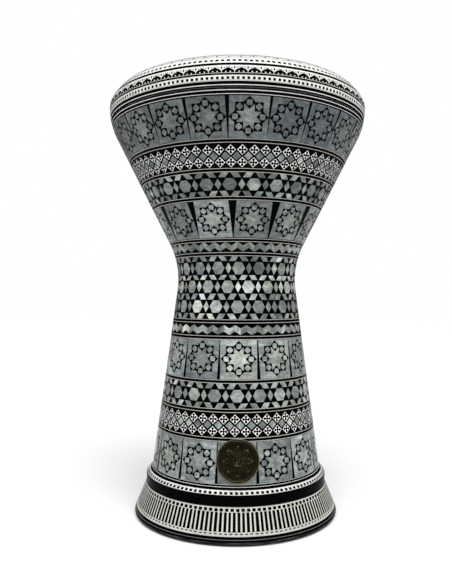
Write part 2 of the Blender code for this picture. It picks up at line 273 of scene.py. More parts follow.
class Inlay:
    """Collects inlaid pieces of one material on one strip, then makes them one object."""

    def __init__(self, node, seed, end=None):
        self.node, self.random = node, np.random.default_rng(seed)
        self.start = REACH[node][0]
        self.curve = OUT.part(self.start, end or REACH[node][1])
        self.points, self.normals, self.grain, self.tint = [], [], [], []
        self.loops, self.sizes, self.count = [], [], 0

    def lay(self, shapes, centre, turns, radius=None, tones=0.0, hues=0.0, grain=0.0, proud=PROUD,
            drift=0.0, tilt=0.0, spread=0.10, tile_spread=0.10):
        """Lay one repeat of a pattern at every turn (an angle).

        shapes are flat polygons, x around and y up, about the place called centre along the outline.
        With a radius, x is turned into an angle by it all over; else by the drum's own radius there.
        tones, hues and grain (an angle) are one number, or one for each shape. Each repeat varies in
        place by drift, in angle by tilt, and in tone by tile_spread; each shape's tone by spread.
        """
        curve, start = self.curve, self.start
        corners = np.concatenate(shapes)
        (left, bottom), (right, top) = corners.min(axis=0), corners.max(axis=0)
        cells = int((right - left) / CELL)
        columns = [left + (right - left) * (i + 1) / (cells + 1) for i in range(cells)]
        rows = [y for y in curve.s[1:-1] + start - centre if bottom < y < top]
        flat, faces, rim, owner = cut_cells(shapes, columns, rows)
        turns = np.asarray(turns)
        copies, kinds, n = len(turns), len(shapes), len(flat)

        def vary(tile, piece):
            """A random amount for each repeat, with one for each of its pieces added."""
            return self.random.normal(0, tile, (copies, 1)) + self.random.normal(0, piece, (copies, kinds))

        sway = self.random.normal(0, 1, (copies, 3))
        x = flat[None, :, 0] + sway[:, :1] * drift
        y = flat[None, :, 1] + sway[:, 1:2] * drift * 0.6
        lean = np.clip(sway[:, 2:3], -1.8, 1.8) * tilt
        x, y = x - y * lean, y + x * lean
        s = np.clip(y + centre - start, 0.0, curve.s[-1])
        angle = turns[:, None] + x / (curve.at(s)[0] if radius is None else radius)
        nr, nz = curve.normal(s)
        normal = np.stack([nr * np.sin(angle), -nr * np.cos(angle), nz], axis=2)
        for lift in (proud, -SINK):
            r, z = curve.at(s, lift)
            self.points.append(np.stack([r * np.sin(angle), -r * np.cos(angle), z], axis=2).reshape(-1, 3))
            self.normals.append(normal.reshape(-1, 3))
        # grain: each piece's own flat coordinates in millimetres, turned and moved at random
        theta = (np.asarray(grain) + vary(0.25, 0.12))[:, owner]
        along = (x * np.cos(theta) + y * np.sin(theta)) / MM
        across = (-x * np.sin(theta) + y * np.cos(theta)) / MM
        tile_offset = self.random.uniform(-400, 400, (copies, 1, 3))
        offset = tile_offset + self.random.uniform(-2, 2, (copies, kinds, 3))
        grains = np.stack([along, across, np.zeros_like(along)], axis=2) + offset[:, owner]
        # tint: brightness, hue, and a number that picks the repeats with a flash of light
        bright = 0.5 + np.asarray(tones) + vary(tile_spread, spread)
        hue = 0.5 + np.asarray(hues) + vary(0.15, 0.10)
        spare = np.broadcast_to(self.random.uniform(0, 1, (copies, 1)), (copies, kinds))
        tint = np.stack([bright, hue, spare, np.ones((copies, kinds))], axis=2)[:, owner]
        self.grain += [grains.reshape(-1, 3)] * 2
        self.tint += [tint.reshape(-1, 4)] * 2
        # faces: tops, bottoms, walls
        under = copies * n
        a, b = np.array(rim).T
        one = np.concatenate([np.concatenate(faces), np.concatenate([f[::-1] for f in faces]) + under,
                              np.stack([b, a, a + under, b + under], axis=1).ravel()])
        self.loops.append((one[None, :] + (np.arange(copies) * n)[:, None] + self.count).ravel())
        sizes = [len(f) for f in faces]
        self.sizes.append(np.tile(np.concatenate([sizes, sizes, np.full(len(a), 4)]), copies))
        self.count += 2 * under

    def finish(self, part, look):
        name = f"{self.node}_{part}"
        mesh = new_mesh(name, *map(np.concatenate, (self.points, self.loops, self.sizes)))
        grain = mesh.attributes.new("grain", "FLOAT_VECTOR", "POINT")
        grain.data.foreach_set("vector", np.concatenate(self.grain).astype(np.float32).ravel())
        tint = mesh.attributes.new("tint", "FLOAT_COLOR", "POINT")
        tint.data.foreach_set("color", np.concatenate(self.tint).astype(np.float32).ravel())
        mesh.normals_split_custom_set_from_vertices(np.concatenate(self.normals))
        add_piece(name, mesh, look, BODY[self.node], self.node)


# ---- materials

class Nodes:
    """A material's node tree, with short ways to add and join nodes."""

    def __init__(self, slot, name=None):
        self.material = bpy.data.materials.new(name or slot + "_fine")
        self.material.use_nodes = True
        self.look = self.material, slot
        self.tree = self.material.node_tree
        self.shader = self.tree.nodes["Principled BSDF"]
        self.place = self.add("ShaderNodeTexCoord").outputs["Object"]

    def add(self, kind, inputs=None, **settings):
        node = self.tree.nodes.new(kind)
        for key, value in settings.items():
            setattr(node, key, value)
        for key, value in (inputs or {}).items():
            self.put(node.inputs[key], value)
        return node

    def put(self, socket, value):
        if isinstance(value, bpy.types.NodeSocket):
            self.tree.links.new(value, socket)
        else:
            socket.default_value = value

    def set(self, **values):
        for key, value in values.items():
            self.put(self.shader.inputs[key.replace("_", " ")], value)

    def math(self, operation, a, b, clamp=False):
        return self.add("ShaderNodeMath", {0: a, 1: b}, operation=operation, use_clamp=clamp).outputs[0]

    def plus(self, base, value, gain):
        """A base and a gain times a value."""
        return self.math("ADD", base, self.math("MULTIPLY", value, gain))

    def over(self, value, edge, gain, clamp=False):
        """A gain times how far a value is over an edge."""
        return self.math("MULTIPLY", self.math("SUBTRACT", value, edge), gain, clamp)

    def noise(self, vector, scale, detail, roughness, distortion=0.0):
        """Noise with one scale, or with a scale along each axis."""
        if isinstance(scale, tuple):
            vector, scale = self.add("ShaderNodeMapping", {"Vector": vector, "Scale": scale}).outputs[0], 1.0
        return self.add("ShaderNodeTexNoise", {
            "Vector": vector, "Scale": scale, "Detail": detail, "Roughness": roughness,
            "Distortion": distortion}).outputs["Fac"]

    def ramp(self, value, *stops):
        """Colour by value. A stop is a value with its grey, or with its red, green and blue."""
        node = self.add("ShaderNodeValToRGB", {"Fac": value})
        elements = node.color_ramp.elements
        while len(elements) < len(stops):
            elements.new(0.5)
        for element, (stop, *colour) in zip(elements, stops):
            element.position = stop
            element.color = (*(colour * 3)[:3], 1.0)
        return node.outputs["Color"]

    def bump(self, height, strength, distance):
        return self.add("ShaderNodeBump", {"Height": height, "Strength": strength,
                                           "Distance": distance}).outputs[0]


def lacquer(n, weight=1.0, ior=1.12):
    """Clear lacquer over a piece, a little wavy."""
    wave = n.noise(n.place, 55.0, 2.0, 0.45)
    n.set(Coat_Weight=weight, Coat_Roughness=0.045, Coat_IOR=ior, Specular_IOR_Level=0.0,
          Coat_Normal=n.bump(wave, 0.12, 0.0006))


def make_pearl():
    n = Nodes("pearl_inlay")
    grain = n.add("ShaderNodeAttribute", attribute_name="grain").outputs["Vector"]
    tint = n.add("ShaderNodeAttribute", attribute_name="tint").outputs["Color"]
    bright, hue, spare = n.add("ShaderNodeSeparateColor", {"Color": tint}).outputs
    cloud = n.noise(grain, (0.10, 0.16, 1.0), 3.0, 0.55, 0.6)
    silk = n.noise(grain, (0.22, 1.5, 1.0), 3.0, 0.6, 1.1)
    fine = n.noise(grain, (0.9, 6.0, 1.0), 2.0, 0.6, 0.8)
    glint = n.noise(grain, (0.35, 2.6, 1.0), 3.0, 0.7, 1.6)
    value = bright
    for layer, gain in ((cloud, 0.85), (silk, 0.62), (fine, 0.38)):
        value = n.math("ADD", value, n.over(layer, 0.5, gain))
    value = n.plus(value, n.over(spare, 0.55, 2.2, clamp=True), n.over(glint, 0.48, 1.6))
    grey = n.ramp(value, (0.0, 0.045, 0.050, 0.051), (0.30, 0.100, 0.109, 0.109),
                  (0.52, 0.175, 0.187, 0.183), (0.75, 0.35, 0.365, 0.355), (1.0, 0.72, 0.73, 0.71))
    shade = n.ramp(n.math("ADD", hue, n.over(cloud, 0.5, 0.9)), (0.0, 0.88, 0.96, 1.05),
                   (0.35, 0.93, 1.0, 1.01), (0.55, 0.96, 1.01, 0.96), (0.78, 1.0, 1.02, 0.91),
                   (1.0, 1.02, 1.01, 0.93))
    colour = n.add("ShaderNodeMix", {"Factor": 0.8, 6: grey, 7: shade}, data_type="RGBA",
                   blend_type="MULTIPLY").outputs[2]
    n.set(Base_Color=colour, Roughness=n.plus(0.26, silk, 0.16), Metallic=0.22,
          Normal=n.bump(silk, 0.25, 0.0004))
    lacquer(n)
    return n.look


def make_white(name, level, blue=1.0):
    """White inlay of a level of brightness. A blue under 1 makes it warmer."""
    n = Nodes("white_inlay", name)
    streak = n.noise(n.place, (60.0, 60.0, 260.0), 3.0, 0.55)
    spots = n.noise(n.place, 420.0, 2.0, 0.6)
    colour = n.ramp(n.plus(n.math("MULTIPLY", streak, 0.7), spots, 0.3), *(
        (stop, level * shade, level * shade, level * (shade - 0.03) * blue)
        for stop, shade in ((0.25, 0.68), (0.5, 0.92), (0.7, 1.05))))
    n.set(Base_Color=colour, Roughness=n.plus(0.3, spots, 0.15))
    lacquer(n)
    return n.look


def make_black():
    n = Nodes("black_inlay")
    dust = n.noise(n.place, 300.0, 3.0, 0.6)
    n.set(Base_Color=n.ramp(dust, (0.3, 0.0005, 0.0005, 0.0006), (0.75, 0.0014, 0.0014, 0.0016)),
          Roughness=n.plus(0.22, dust, 0.12))
    lacquer(n, 0.40, 1.10)
    return n.look


def make_worn():
    """The scuffed black lacquer of the foot's lowest edge."""
    n = Nodes("black_inlay", "scuffed_lacquer_fine")
    scuff = n.noise(n.place, (70.0, 70.0, 900.0), 4.0, 0.65)
    n.set(Base_Color=n.ramp(scuff, (0.35, 0.004), (0.55, 0.022), (0.75, 0.14, 0.14, 0.135)),
          Roughness=n.plus(0.3, scuff, 0.2))
    lacquer(n, 0.40, 1.10)
    return n.look


def make_cast():
    n = Nodes("cast_aluminium")
    sand = n.noise(n.place, 900.0, 3.0, 0.65)
    cloud = n.noise(n.place, 38.0, 4.0, 0.55)
    ridges = n.noise(n.place, (4.0, 4.0, 900.0), 2.0, 0.5)
    colour = n.ramp(n.plus(n.math("MULTIPLY", cloud, 0.75), sand, 0.25),
                    (0.3, 0.36, 0.36, 0.37), (0.52, 0.54, 0.54, 0.55), (0.75, 0.66))
    height = n.plus(n.math("MULTIPLY", sand, 0.6), ridges, 0.4)
    n.set(Base_Color=colour, Roughness=n.plus(0.36, cloud, 0.22), Metallic=1.0,
          Normal=n.bump(height, 0.35, 0.0004))
    return n.look


def make_film():
    n = Nodes("head_film")
    haze = n.noise(n.place, 16.0, 4.0, 0.6)
    pores = n.noise(n.place, 1400.0, 2.0, 0.5)
    n.set(Base_Color=n.ramp(haze, (0.3, 0.60, 0.60, 0.57), (0.55, 0.67, 0.67, 0.645),
                            (0.8, 0.72, 0.72, 0.70)),
          Roughness=n.plus(0.34, haze, 0.18), Subsurface_Weight=0.08,
          Subsurface_Radius=(0.002, 0.002, 0.0015), Normal=n.bump(pores, 0.15, 0.0002))
    return n.look


def make_hoop():
    n = Nodes("hoop_aluminium")
    brush = n.noise(n.place, (30.0, 30.0, 2600.0), 3.0, 0.6)
    n.set(Base_Color=n.ramp(brush, (0.3, 0.56, 0.56, 0.57), (0.7, 0.72, 0.72, 0.73)), Metallic=1.0,
          Roughness=n.plus(0.22, brush, 0.16))
    return n.look


def make_steel():
    n = Nodes("bolt_steel")
    stain = n.noise(n.place, 160.0, 4.0, 0.6)
    grit = n.noise(n.place, 2600.0, 2.0, 0.5)
    worn = n.over(n.add("ShaderNodeNewGeometry").outputs["Pointiness"], 0.52, 9.0, clamp=True)
    colour = n.ramp(n.plus(stain, worn, 0.5), (0.3, 0.030, 0.031, 0.034), (0.6, 0.070, 0.070, 0.074),
                    (1.0, 0.34, 0.33, 0.32))
    n.set(Base_Color=colour, Metallic=1.0, Roughness=n.plus(0.28, stain, 0.2),
          Normal=n.bump(grit, 0.1, 0.0001))
    return n.look


def make_brass():
    n = Nodes("medallion_brass")
    stain = n.noise(n.place, 130.0, 4.0, 0.6)
    grit = n.noise(n.place, 1500.0, 3.0, 0.6)
    worn = n.over(n.add("ShaderNodeNewGeometry").outputs["Pointiness"], 0.50, 14.0, clamp=True)
    colour = n.ramp(n.plus(n.math("MULTIPLY", stain, 0.55), worn, 0.6), (0.12, 0.006, 0.0055, 0.003),
                    (0.36, 0.017, 0.0155, 0.008), (0.56, 0.080, 0.068, 0.040), (0.90, 0.42, 0.36, 0.24))
    n.set(Base_Color=colour, Metallic=1.0, Roughness=n.plus(0.26, grit, 0.2),
          Normal=n.bump(grit, 0.12, 0.0002))
    return n.look


PEARL, BLACK, WORN = make_pearl(), make_black(), make_worn()
# Copies of one white inlay whose brightness stands in for the light: the brightest is painted light, the
# darker, warmer ones are painted shade, and the grey one is a painted reflection on the foot's glossy black
# edge, with wear.
WHITE, LIT_WHITE, SHADED_WARM_WHITE, SHADED_FOOT_WHITE, WORN_REFLECTION_GREY = (
    make_white(f"{name}white_inlay_fine", *level) for name, *level in (
        ("", 0.66), ("ring_", 0.78), ("shaded_warm_", 0.52, 0.95), ("foot_", 0.56, 0.93), ("worn_reflection_", 0.20)))
CAST, FILM_LOOK, HOOP_LOOK, STEEL, BRASS = make_cast(), make_film(), make_hoop(), make_steel(), make_brass()


# ---- patterns

def polar(radius, angle):
    """The point at a radius and an angle in degrees."""
    return radius * cos(radians(angle)), radius * sin(radians(angle))


def box(half_x, half_y, x=0.0, y=0.0):
    return [(x + side * half_x, y + up * half_y) for side, up in ((-1, -1), (1, -1), (1, 1), (-1, 1))]


def diamond(half):
    return [(half, 0.0), (0.0, half), (-half, 0.0), (0.0, -half)]


def star_tile(ring, half, low, high, taper):
    """A tile's pearl: an eight-pointed star, eight cut-cornered squares round it, and a ground in four parts.

    The eight black squares round the star are its black strip, showing at the corners of these pieces.
    half is half the tile's width at the star, and taper is how much it grows with the height.
    """
    eighth = 22.5
    tip = ring / cos(radians(eighth))
    star = [polar(0.586 * ring if i % 2 == 0 else tip, eighth * i) for i in range(16)]
    shapes = [inset(star, 0.00040)]
    square = 0.293 * ring  # half a black square, where the squares just touch
    flat, lean = 0.84 * square, 0.16  # half across a pearl square's flats, and a flat's share of that
    reach, cut = hypot(flat, flat * lean), degrees(atan(lean))
    for k in range(8):
        x, y = polar(ring, 45 * k)
        corners = [polar(reach, 45 * (k + 1) + 90 * j + sign * cut) for j in range(4) for sign in (-1, 1)]
        shapes.append([(x + a, y + b) for a, b in corners])
    outer = ring + 0.00028
    far, point = sqrt(2) * outer, outer / cos(radians(eighth))
    for sx, sy, up in ((1, 1, high), (-1, 1, high), (-1, -1, low), (1, -1, low)):
        corner = half + taper * sy * up
        part = [(far, 0.0), (half, 0.0)] if far < half - 0.0001 else [(half, far - half + 0.0001)]
        part += [(corner, up)]
        part += [(0.0, up), (0.0, far)] if far < up - 0.0001 else [(far - up + 0.0001, up)]
        part += [polar(point, 3 * eighth), polar(far, 2 * eighth), polar(point, eighth)]
        part = [(x * sx, y * sy) for x, y in part]
        shapes.append(inset(part if sx * sy > 0 else part[::-1], 0.00008))
    return shapes


def check(reach):
    """The black check inside a diamond: a round cell with four more round it, joined by narrow necks."""
    cell, neck, crotch = reach * 0.35, reach * 0.13, reach * 0.27
    corners = [polar(cell, -157.5 + 45 * j) for j in range(8)]
    arm = [(crotch, -neck)] + [(reach - cell + x, y) for x, y in corners] + [(crotch, neck)]
    turns = [Matrix.Rotation(radians(90 * k), 2) for k in range(4)]
    return [tuple(turn @ Vector(p)) for turn in turns for p in arm]


JOINT = 0.00044  # how far hexagons and rhombi stop short of each other's corners


def hexagons(side, half, strip, above=True, below=True):
    """One repeat, three sides wide: hexagon, rhombus beside it, and the slanted strips over and under it."""
    s, h, t = side, half, half + strip
    shapes = [inset([(s, 0), (s / 2, h), (-s / 2, h), (-s, 0), (-s / 2, -h), (s / 2, -h)], JOINT),
              inset([(s, 0), (1.5 * s, -h), (2 * s, 0), (1.5 * s, h)], JOINT)]
    tones = [0.0, 0.05]
    for up in [1] * above + [-1] * below:
        for slant in ([(0.5, h), (1.5, h), (1.0, t), (0.0, t)], [(1.5, h), (2.5, h), (3.0, t), (2.0, t)]):
            points = [(x * s, y * up) for x, y in slant]
            shapes.append(inset(points[::up], JOINT))
            tones.append(0.04)
    return shapes, tones


def zigzag(period, height, share):
    """One repeat of the zigzag: two slanted pieces that meet in a point at the top."""
    thick, top, bottom = share * height, height / 2, -height / 2
    right = [(0, top - thick), (period / 2, bottom), (period / 2, bottom + thick), (0, top)]
    left = [(-x, y) for x, y in right][::-1]
    return [inset(right, 0.00008), inset(left, 0.00008)]


def around(count, first):
    """Evenly spaced angles, from the first one in degrees."""
    return np.radians(first) + np.arange(count) * tau / count


# ---- strips

# every strip from the foot up: those on the shell, then those on the ring
STRIPS = {"shell": """
    foot_edge_band foot_dash_strip foot_bar_band foot_dot_strip groove_band bead_dot_strip star_band_lower
    stringing_1 diamond_band_lower stringing_2 hexagon_band_lower stringing_3 star_band_middle stringing_4
    zigzag_band_lower stringing_5 hexagon_band_waist stringing_6 zigzag_band_upper stringing_7 star_band_upper
    stringing_8 hexagon_band_upper stringing_9 diamond_band_upper stringing_10 star_band_rim rim_line_band
""", "tuning_ring": """
    ring_line_band ring_dot_strip_lower ring_triangle_band ring_dot_strip_upper ring_crown_band
"""}
BODY = {node: body for body, nodes in STRIPS.items() for node in nodes.split()}
REACH = {node: strip_reach(node) for node in BODY}


def rings(node, part, sections, look):
    """Turned rings on a strip, as one piece."""
    name = f"{node}_{part}"
    add_piece(name, turned_mesh(name, sections), look, BODY[node], node)


def let_in(*spans):
    """Sections of thin rings let into a strip, each between two places along the outside."""
    return [layer_section(a, b, PROUD, SINK) for a, b in spans]


def heights(*pairs):
    return let_in(*((OUT.along(a), OUT.along(b)) for a, b in pairs))


for node in BODY:
    rings(node, "ground", [layer_section(*REACH[node])], BLACK)

# stringing: a black line between two thin white ones. Height of each black line's middle, from the foot up
STRINGING = [0.0921, 0.11895, 0.1462, 0.18825, 0.2043, 0.2704, 0.28375, 0.32155, 0.3455, 0.3697]
LINE, FINE = 0.00130, 0.00048  # half the black line, and a white line
for i, z in enumerate(STRINGING, 1):
    middle = OUT.along(z)
    rings(f"stringing_{i}", "lines", let_in((middle - LINE - FINE, middle - LINE),
                                            (middle + LINE, middle + LINE + FINE)), SHADED_WARM_WHITE)

EDGE = 0.0003  # black joint between a band's pearl and the line beside it
NEAR = 0.006  # a line within this of a place is beside it


def line_edge(place, side):
    """The upper (1) or lower (-1) edge of the stringing beside a place, or the place if no line is near."""
    nearest = min((OUT.along(z) for z in STRINGING), key=lambda s: abs(s - place))
    return nearest + side * (LINE + FINE) if abs(nearest - place) < NEAR else place


# foot
# a dim grey line round the foot's edge: a worn white line, and a painted reflection of the glossy black
# lacquer
rings("foot_edge_band", "lines", heights((0.00590, 0.00625)), WORN_REFLECTION_GREY)
rings("foot_edge_band", "worn", heights((0.0012, 0.0040)), WORN)
rings("foot_dash_strip", "lines", heights((0.00870, 0.01225)), SHADED_WARM_WHITE)
rings("foot_dot_strip", "lines", heights((0.0282, 0.0324)), SHADED_WARM_WHITE)
rings("bead_dot_strip", "lines", heights((0.0431, 0.0466), (0.0488, 0.0492), (0.05095, 0.05125)), WHITE)

inlay = Inlay("foot_dash_strip", 11)
inlay.lay([box(0.0013, 0.00055)], OUT.along(0.01080), around(137, 0.4), 0.1052, proud=2 * PROUD,
          drift=0.0001)
inlay.finish("dashes", BLACK)

inlay = Inlay("foot_bar_band", 12)
start, end = REACH["foot_bar_band"]
inlay.lay([box(0.00081, (end - start) / 2 - 0.0001)], (start + end) / 2, around(147, 0.6), 0.1015,
          drift=0.00012, tilt=0.006)
inlay.finish("bars", SHADED_FOOT_WHITE)

# dotted strips: node, height of the dots, how many, first one, half width, half height, seed
for node, z, count, first, across, tall, seed in (
        ("foot_dot_strip", 0.0300, 120, 1.2, 0.00162, 0.00140, 13),
        ("bead_dot_strip", 0.0445, 118, 0.5, 0.00142, 0.00134, 14),
        ("ring_dot_strip_lower", 0.4190, 186, 0.3, 0.00120, 0.00115, 15),
        ("ring_dot_strip_upper", 0.4359, 164, 0.9, 0.00145, 0.00145, 16)):
    inlay = Inlay(node, seed)
    centre = OUT.along(z)
    inlay.lay([box(across, tall)], centre, around(count, first), OUT.at(centre)[0], proud=2 * PROUD,
              drift=0.00008, tilt=0.03)
    inlay.finish("dots", BLACK)

# rim and ring lines
rings("rim_line_band", "lines", heights((0.40590, 0.40640), (0.40885, 0.40955)), WHITE)
rings("ring_line_band", "lines", heights((0.41300, 0.41370)), LIT_WHITE)
rings("ring_dot_strip_lower", "lines", heights((0.41765, 0.42148)), LIT_WHITE)
# the lower dotted strip's lowest part in a darker white: painted shade
rings("ring_dot_strip_lower", "shade", heights((0.41640, 0.41765)), SHADED_WARM_WHITE)
rings("ring_triangle_band", "lines", heights((0.42312, 0.43030)), LIT_WHITE)
rings("ring_dot_strip_upper", "lines", heights((0.43295, 0.43935)), LIT_WHITE)

# triangle band: a black tent with two white eyes, and a cross of five ticks between two tents
TENTS, TENT_FIRST, TENT_RADIUS = 74, 1.4, 0.1355
TENT_WIDTH = tau * TENT_RADIUS / TENTS
SLOPE = [(0.48, 0.0), (0.48, 0.0013), (0.43, 0.0022), (0.33, 0.0030), (0.18, 0.0037), (0.07, 0.0044)]
TENT = [[(x * TENT_WIDTH, y) for x, y in SLOPE + [(0.0, 0.0050)] + [(-x, y) for x, y in SLOPE[::-1]]]]
EYES = [[(side * 0.17 * TENT_WIDTH + x, 0.0009 + y) for x, y in (polar(0.00066, 60 * k) for k in range(6))]
        for side in (-1, 1)]
TICKS = ([box(0.0006, 0.0012)] + [box(0.00055, 0.0004, side * 0.00255) for side in (1, -1)]
         + [box(0.0005, 0.0003, side * 0.0045, 0.0007) for side in (1, -1)])
tents, between = around(TENTS, TENT_FIRST), around(TENTS, TENT_FIRST + 180 / TENTS)
foot = OUT.along(0.42345)
inlay = Inlay("ring_triangle_band", 17)
inlay.lay(TENT, foot, tents, TENT_RADIUS, proud=2 * PROUD)
inlay.lay(TICKS, OUT.along(0.42790), between, TENT_RADIUS, proud=2 * PROUD, drift=0.0001)
inlay.finish("triangles", BLACK)
inlay = Inlay("ring_triangle_band", 19)
inlay.lay(EYES, foot, tents, TENT_RADIUS, proud=3 * PROUD, drift=0.00012)
inlay.finish("eyes", LIT_WHITE)

# crown of the ring: white with a row of ticks, tents, and a dotted edge beside the head
start, end = REACH["ring_crown_band"]
rings("ring_crown_band", "lines",
      let_in((start + 0.0002, start + 0.0150), (end - 0.0098, end - 0.0062)), WHITE)
inlay = Inlay("ring_crown_band", 18)
radius = OUT.at(start + 0.004)[0]
for shapes, place, turns, here, tilt in (
        (TICKS, start + 0.0022, tents, radius, 0.15),
        (TENT, start + 0.0048, tents, radius, 0.0),
        ([box(0.0007, 0.0006)], start + 0.0120, around(164, 0.9), 0.121, 0.0),
        ([box(0.0007, 0.0007)], end - 0.0080, around(150, 0.9), 0.1125, 0.0)):
    inlay.lay(shapes, place, turns, here, proud=2 * PROUD, drift=0.0001, tilt=tilt)
inlay.finish("pattern", BLACK)

# star bands: node, height of the stars, radius of the ring of squares, tiles, first centre,
# half a tile's width (or None where the band's narrow end gives it), taper, tone, seed
TILE_JOINT = 0.0003  # half the black joint between two tiles
RIM_PEARL_TOP = 0.40515
for node, z, ring, count, first, half, taper, tone, seed in (
        ("star_band_rim", 0.3884, 0.0124, 21, 4.57, 0.01785, 0.029, -0.12, 21),
        ("star_band_upper", 0.3030, 0.0120, 13, 11.35, None, 0.012, -0.02, 22),
        ("star_band_middle", 0.1678, 0.0123, 12, 2.1, None, 0.0, 0.11, 23),
        ("star_band_lower", 0.0700, 0.0125, 14, 0.9, None, 0.0, 0.03, 24)):
    start, end = REACH[node]
    if node == "star_band_rim":
        end = OUT.along(RIM_PEARL_TOP)
    centre = OUT.along(z)
    below = centre - line_edge(start, 1) - EDGE
    above = line_edge(end, -1) - EDGE - centre
    narrow = min(OUT.at(start + 0.0004)[0], OUT.at(end - 0.0004)[0])
    half = half or narrow * pi / count - TILE_JOINT + taper * below / 2
    places = around(count, first) + np.random.default_rng(seed + 500).uniform(-0.0035, 0.0035, count)
    inlay = Inlay(node, seed, end)
    inlay.lay(star_tile(ring, half, below, above, taper), centre, places, tones=[tone + 0.01] + [tone] * 12,
              hues=[0.16] + [-0.05] * 8 + [-0.10] * 4, spread=0.045, tile_spread=0.075, drift=0.00012,
              tilt=0.004)
    inlay.finish("pearl", PEARL)

# diamond bands: node, heights of the two rows, repeats, first centre, tone, seed
DIAMOND, PEARL_DIAMOND = 0.0048, 0.0040  # half diagonals
for node, upper, lower, count, first, tone, seed in (
        ("diamond_band_upper", 0.3623, 0.3520, 65, -3.0, -0.02, 31),
        ("diamond_band_lower", 0.1109, 0.0995, 48, -0.7, 0.10, 32)):
    frames, checks, pearls = Inlay(node, seed), Inlay(node, seed + 10), Inlay(node, seed + 20)
    rows = [OUT.along(upper), OUT.along(lower)]
    for place in rows:
        radius = OUT.at(place)[0]
        frames.lay([diamond(DIAMOND)], place, around(count, first), radius, drift=0.00014, tilt=0.02)
        checks.lay([check(DIAMOND * 0.785)], place, around(count, first), radius, proud=2 * PROUD)
    middle = sum(rows) / 2
    pearls.lay([diamond(PEARL_DIAMOND)], middle, around(count, first + 180 / count), OUT.at(middle)[0],
               tones=tone, spread=0.09, tile_spread=0.03, drift=0.0001, grain=0.9)
    frames.finish("frames", LIT_WHITE)
    checks.finish("checks", BLACK)
    pearls.finish("pearl", PEARL)

# hexagon bands of one row: node, height of the centres, repeats, first centre, tone, seed
for node, z, count, first, tone, seed in (("hexagon_band_upper", 0.3336, 27, -4.0, -0.05, 51),
                                          ("hexagon_band_lower", 0.1326, 22, 0.8, 0.10, 52)):
    start, end = REACH[node]
    centre = OUT.along(z)
    radius = OUT.at(centre)[0]
    reach = min(centre - line_edge(start, 1), line_edge(end, -1) - centre)
    shapes, tones = hexagons(tau * radius / count / 3, reach * 0.53, reach * 0.47 + 0.0003)
    inlay = Inlay(node, seed)
    inlay.lay(shapes, centre, around(count, first), radius, tones=[tone + t for t in tones], spread=0.08,
              tile_spread=0.05, drift=0.0001)
    inlay.finish("pearl", PEARL)

# waist: three rows of hexagons, closed with an extra rhombus where the rows end
WAIST_HALF = 0.00655  # half the height of a hexagon
SEAM, WAIST_COUNT = radians(7.0), 19  # angle left for the extra rhombus, and repeats in a row
period = (tau - SEAM) / WAIST_COUNT
start, end = REACH["hexagon_band_waist"]
centres = [OUT.along(z) for z in (0.2568, 0.2383, 0.2186)]
inlay = Inlay("hexagon_band_waist", 53)
for i, (centre, last, tone) in enumerate(zip(centres, (20.4, 29.2, 19.4), (0.0, 0.22, 0.09))):
    radius = OUT.at(centre)[0]
    side, gap = period * radius / 3, SEAM * radius
    strip_up = centres[i - 1] - centre - 2 * WAIST_HALF if i else line_edge(end, -1) - centre - WAIST_HALF
    strip_down = centre - WAIST_HALF - line_edge(start, 1) if i == 2 else 0.0
    shapes, tones = hexagons(side, WAIST_HALF, strip_up, below=False)
    if strip_down:
        more, more_tones = hexagons(side, WAIST_HALF, strip_down, above=False)
        shapes, tones = shapes + more[2:], tones + more_tones[2:]
    inlay.lay(shapes, centre, radians(last) - np.arange(WAIST_COUNT) * period, radius,
              tones=[tone + t for t in tones], tile_spread=0.08, drift=0.0001)
    extra = [inset([(2 * side + x, y) for x, y in ((0, 0), (gap / 2, -WAIST_HALF), (gap, 0),
                                                   (gap / 2, WAIST_HALF))], 0.00018)]
    for sign, strip in ((1, strip_up), (-1, strip_down)):
        if strip:
            foot, top = WAIST_HALF * sign, (WAIST_HALF + strip) * sign
            points = [(2.5 * side, foot), (2.5 * side + gap, foot), (3 * side + gap, top), (3 * side, top)]
            extra.append(inset(points[::sign], JOINT))
    inlay.lay(extra, centre, [radians(last)], radius, tones=tone + 0.05)
inlay.finish("pearl", PEARL)

# zigzag bands: node, heights of the two edges, repeats, first one, thickness of the line as a share of
# the band's height, tone, spread, seed
for node, lower, upper, count, first, share, tone, spread, seed in (
        ("zigzag_band_lower", 0.1912, 0.2007, 39, -1.0, 0.67, 0.13, 0.15, 61),
        ("zigzag_band_upper", 0.2728, 0.2823, 38, 0.5, 0.62, 0.0, 0.07, 62)):
    bottom, top = OUT.along(lower), OUT.along(upper)
    centre = (bottom + top) / 2
    radius = OUT.at(centre)[0]
    inlay = Inlay(node, seed)
    inlay.lay(zigzag(tau * radius / count, top - bottom, share), centre, around(count, first), radius,
              tones=tone, spread=spread, tile_spread=0.05, drift=0.0001, grain=[-0.7, 0.7])
    inlay.finish("pearl", PEARL)


# ---- metal, head and fasteners

DEPTH = 0.0015  # metal surface under the finished outside
SHELF_TOP, SHELF_UNDERSIDE = 0.4104, 0.4054
BEARING_OUTER, BEARING_INNER, BEARING_TOP = 0.1085, 0.1045, 0.4415
RING_BOTTOM, RING_INNER, LIP_UNDERSIDE = 0.4118, 0.1126, 0.4385
HOLE, HOLE_TOP = 0.0034, 0.4252  # radius of the bolts' holes, and where they end in the ring
HOOP_INNER, FILM = 0.1096, 0.00025  # inside of the hoop, and thickness of the film


